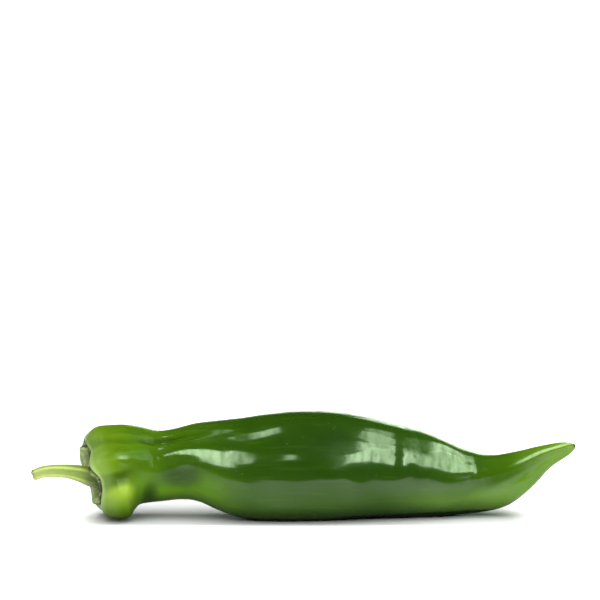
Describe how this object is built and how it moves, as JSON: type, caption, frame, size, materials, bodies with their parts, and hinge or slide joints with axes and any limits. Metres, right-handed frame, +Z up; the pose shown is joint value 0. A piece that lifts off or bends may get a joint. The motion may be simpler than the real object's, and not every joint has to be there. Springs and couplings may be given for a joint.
{
  "type": "italian frying pepper",
  "caption": "Long green frying pepper lying on its side, with a lobed shoulder, a narrow neck, an upturned pointed tip, a dried calyx and a short bent stem.",
  "frame": {"origin": "on the surface that the pepper lies on, under the middle of its bounding box", "axes": "+X along the pepper from its stem to its blossom tip, +Z up, -Y towards its front"},
  "size_m": [0.1819, 0.0379, 0.0364],
  "materials": {
    "skin": "smooth waxy skin, mid green, paler and yellower on the shoulder, neck and tip",
    "calyx": "dull grey-olive, dry and wrinkled, browner at its edge",
    "stem": "satin yellow-green with pale ribs, dark and dry at the cut"
  },
  "bodies": {
    "root": {"fruit": "skin", "calyx": "calyx", "stem": "stem"}
  },
  "joints": []
}
